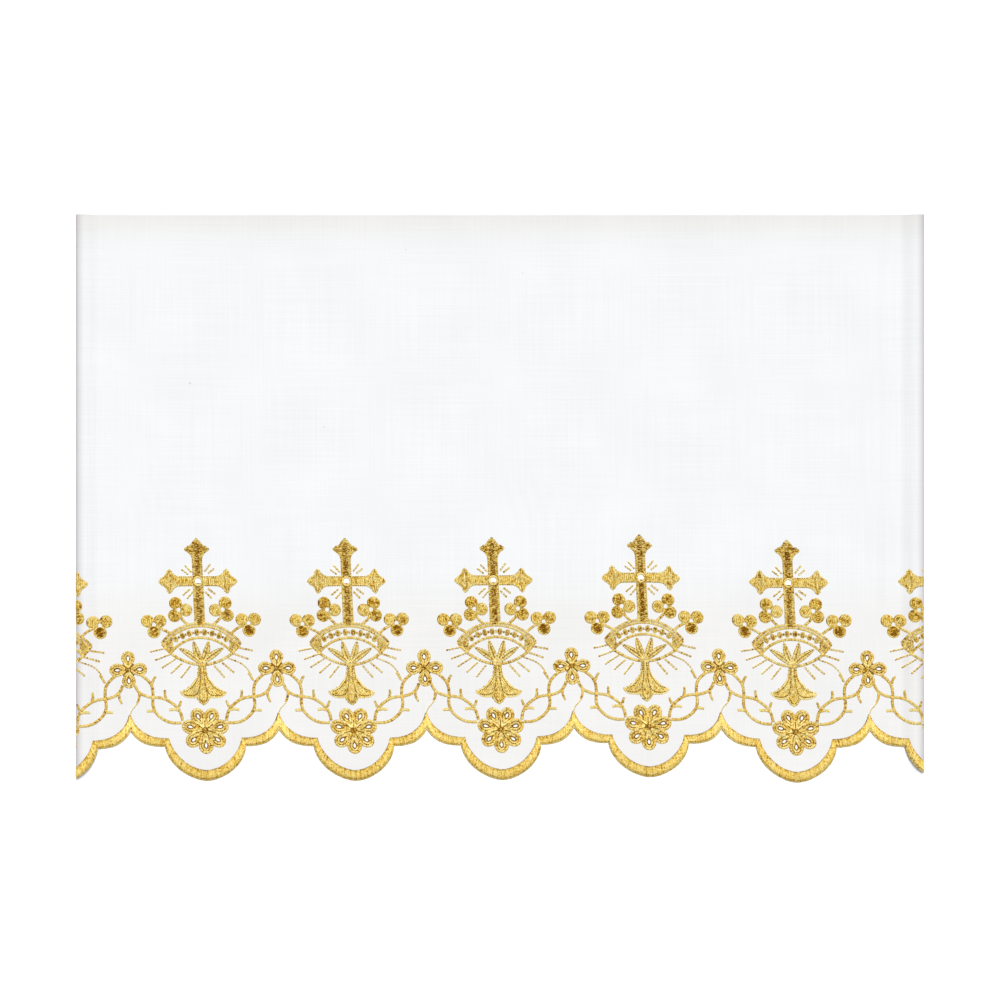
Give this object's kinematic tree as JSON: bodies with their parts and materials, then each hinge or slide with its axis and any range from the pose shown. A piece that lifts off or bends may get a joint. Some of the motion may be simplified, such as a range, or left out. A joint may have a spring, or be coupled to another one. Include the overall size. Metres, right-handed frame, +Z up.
{
  "type": "altar cloth",
  "caption": "White woven altar cloth with a scalloped lower edge and a gold embroidered border of crosses, flowers and vines, lying face up with its sides turned under.",
  "frame": {"origin": "under the middle of the whole cloth, on the surface that it rests on", "axes": "+X across the cloth to the viewer's right, +Y from the scallops to the plain top edge, +Z up from the surface to the face side"},
  "size_m": [0.7644, 0.5106, 0.0073],
  "materials": {
    "cloth": "matt white plain weave",
    "gold_thread": "metallic gold embroidery thread, satin stitched"
  },
  "bodies": {
    "root": {"cloth": "cloth", "scalloped_border": "gold_thread", "cross_motif_1": "gold_thread", "cross_motif_2": "gold_thread", "cross_motif_3": "gold_thread", "cross_motif_4": "gold_thread", "cross_motif_5": "gold_thread", "scallop_flower_1": "gold_thread", "scallop_flower_2": "gold_thread", "scallop_flower_3": "gold_thread", "scallop_flower_4": "gold_thread", "scallop_flower_5": "gold_thread", "sprig_1": "gold_thread", "sprig_2": "gold_thread", "sprig_3": "gold_thread", "sprig_4": "gold_thread", "sprig_5": "gold_thread", "sprig_6": "gold_thread", "left_cut_cross_arm": "gold_thread", "left_cut_trefoil": "gold_thread", "left_cut_eye": "gold_thread", "right_cut_cross_arm": "gold_thread", "right_cut_trefoil": "gold_thread", "right_cut_eye": "gold_thread"}
  },
  "joints": []
}
